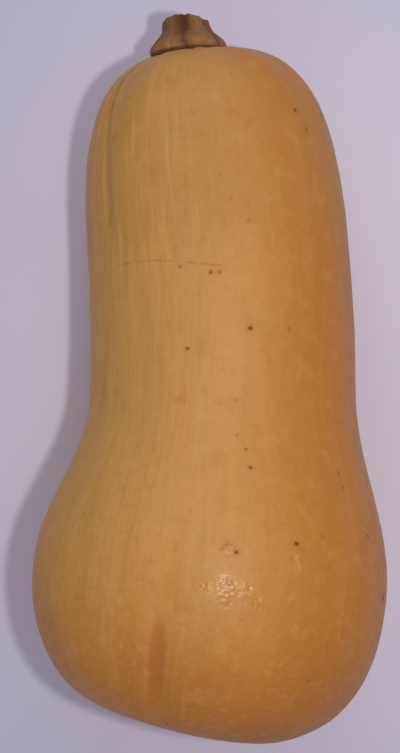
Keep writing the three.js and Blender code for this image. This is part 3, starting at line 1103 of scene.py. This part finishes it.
def stem_paint():
    """The stem: dry, fibrous and brown, paler on its ridges and darker in its grooves."""
    paint = Paint("stem_wood")
    place = paint.place()
    ridge, rise, inside = paint.parts(paint.attribute("look"))
    fibres = paint.noise(place, STEM_FIBRE_SWELLS, 4.0, 0.6)
    lumps = paint.noise(place, STEM_LUMP_SWELLS, 3.0)
    tone = ridge * TONE_OF_RIDGES + fibres * TONE_OF_FIBRES + lumps * TONE_OF_LUMPS - TONE_SHIFT
    colour = paint.node("ShaderNodeValToRGB", {"stops": STEM_WOOD}, {"Fac": tone})
    toes = rise.over(TOES_BELOW) * ridge.over(TOES_ON_RIDGES) * TOES_SHARE
    colour = paint.blend(toes, colour, paint.blend(lumps.over(TOE_PATCHES), TOE_TAN, TOE_BROWN))
    # Painted shade: the stem's lowest part, where it meets the fruit, is darkened as its contact
    # shadow.
    colour = paint.blend(rise.over(SHADE_BELOW) * SHADE_SHARE, colour, STEM_SHADE)
    colour = paint.blend(inside.over(PITH_WITHIN) * PITH_SHARE, colour, STEM_PITH)
    normal = paint.bump(fibres, *FIBRE_BUMP)
    return paint.surface(
        Base_Color=colour,
        Roughness=(fibres - 0.5) * STEM_ROUGHNESS_FIBRES + STEM_ROUGHNESS,
        Normal=paint.bump(lumps, *LUMP_BUMP, normal),
        IOR=IOR,
    )


# Painted light on the table top: it is palest in a pool just beside the squash and deeper away from
# it, standing in for a lamp's falloff.
FLOOR_LIT_PAINTED = (0.760, 0.700, 0.820)
FLOOR_DIM_PAINTED = (0.560, 0.520, 0.655)
PAINTED_LIGHT_POOL_AT = (0.060, 0.0, 0.0)
PAINTED_LIGHT_POOL_WITHIN = (55, 210)
PAINTED_POOL_EDGE_SWELLS = 9
PAINTED_POOL_EDGE_WANDER = 40
FLOOR_GRIT_SWELLS = 900
FLOOR_GRIT_BUMP = (0.04, 0.4)
FLOOR_ROUGHNESS = 0.75
FLOOR_ROUGHNESS_GRIT = 0.1


def floor_paint():
    """A pale, faintly gritty table top with painted light: palest in a pool beside the squash,
    deeper away from it, the pool's edge wandering.
    """
    paint = Paint("pale_floor")
    place = paint.place()
    pool_edge = paint.noise(place, PAINTED_POOL_EDGE_SWELLS)
    grit = paint.noise(place, FLOOR_GRIT_SWELLS)
    # Painted light: the distance from the pool's middle sets how far the colour has gone from the
    # lit tone to the dim one.
    away = paint.distance(place, PAINTED_LIGHT_POOL_AT) + (pool_edge - 0.5) * (PAINTED_POOL_EDGE_WANDER * MM)
    return paint.surface(
        Base_Color=paint.blend(away.over(PAINTED_LIGHT_POOL_WITHIN, MM), FLOOR_LIT_PAINTED, FLOOR_DIM_PAINTED),
        Roughness=(grit - 0.5) * FLOOR_ROUGHNESS_GRIT + FLOOR_ROUGHNESS,
        Normal=paint.bump(grit, *FLOOR_GRIT_BUMP),
        IOR=IOR,
    )


fruit, skin = make_fruit()
fruit.data.materials.append(skin_paint(skin))
stem = make_stem()
stem.data.materials.append(stem_paint())
for piece, node, slot in ((fruit, "fruit", "rind"), (stem, "stem", "stem_wood")):
    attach(piece, "root")
    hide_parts(node)

# The table that it lies on, the lamps and the camera.
FLOOR_WIDTH = 4000
FLOOR_SQUARES = 8
CAMERA_PLACE = Vector((-3.1, -2.7, 600))
CAMERA_LENS = 80.34
CAMERA_SENSOR_WIDTH = 36
KEY_PLACE = CAMERA_PLACE + Vector((80, -12, 0))
KEY_WIDTH = 28
KEY_WATTS = 1.03
KEY_COLOUR = (1.0, 0.98, 0.96)
WINDOW_PLACE = Vector((-40, 600, 400))
WINDOW_WIDTH = 420
WINDOW_WATTS = 0.7
WINDOW_COLOUR = (0.97, 0.96, 1.0)
LAMPS_AIM = Vector((0, 0, 40))
ROOM_COLOUR = (0.93, 0.91, 1.0)
ROOM_STRENGTH = 0.48


def add_lamp(name, place, width, watts, colour):
    """A round soft lamp that shines at the squash."""
    lamp = bpy.data.objects.new(name, bpy.data.lights.new(name, "AREA"))
    lamp.data.shape = "DISK"
    lamp.data.size = width * MM
    lamp.data.energy = watts
    lamp.data.color = colour
    lamp.location = place * MM
    lamp.rotation_euler = (place - LAMPS_AIM).to_track_quat("Z", "Y").to_euler()
    bpy.context.scene.collection.objects.link(lamp)


floor_bm = bmesh.new()
bmesh.ops.create_grid(
    floor_bm, x_segments=FLOOR_SQUARES, y_segments=FLOOR_SQUARES, size=FLOOR_WIDTH / 2 * MM
)
floor = finish_mesh(floor_bm, "floor")
floor_bm.free()
floor.data.materials.append(floor_paint())

add_lamp("key", KEY_PLACE, KEY_WIDTH, KEY_WATTS, KEY_COLOUR)
add_lamp("window", WINDOW_PLACE, WINDOW_WIDTH, WINDOW_WATTS, WINDOW_COLOUR)

world = bpy.data.worlds.new("room")
bpy.context.scene.world = world
world.use_nodes = True
room = world.node_tree.nodes["Background"].inputs
room["Color"].default_value = (*ROOM_COLOUR, 1)
room["Strength"].default_value = ROOM_STRENGTH

camera = bpy.data.objects.new("camera", bpy.data.cameras.new("camera"))
camera.data.lens = CAMERA_LENS
camera.data.sensor_width = CAMERA_SENSOR_WIDTH
camera.location = CAMERA_PLACE * MM
bpy.context.scene.collection.objects.link(camera)
bpy.context.scene.camera = camera
bpy.context.scene.view_settings.view_transform = "Standard"
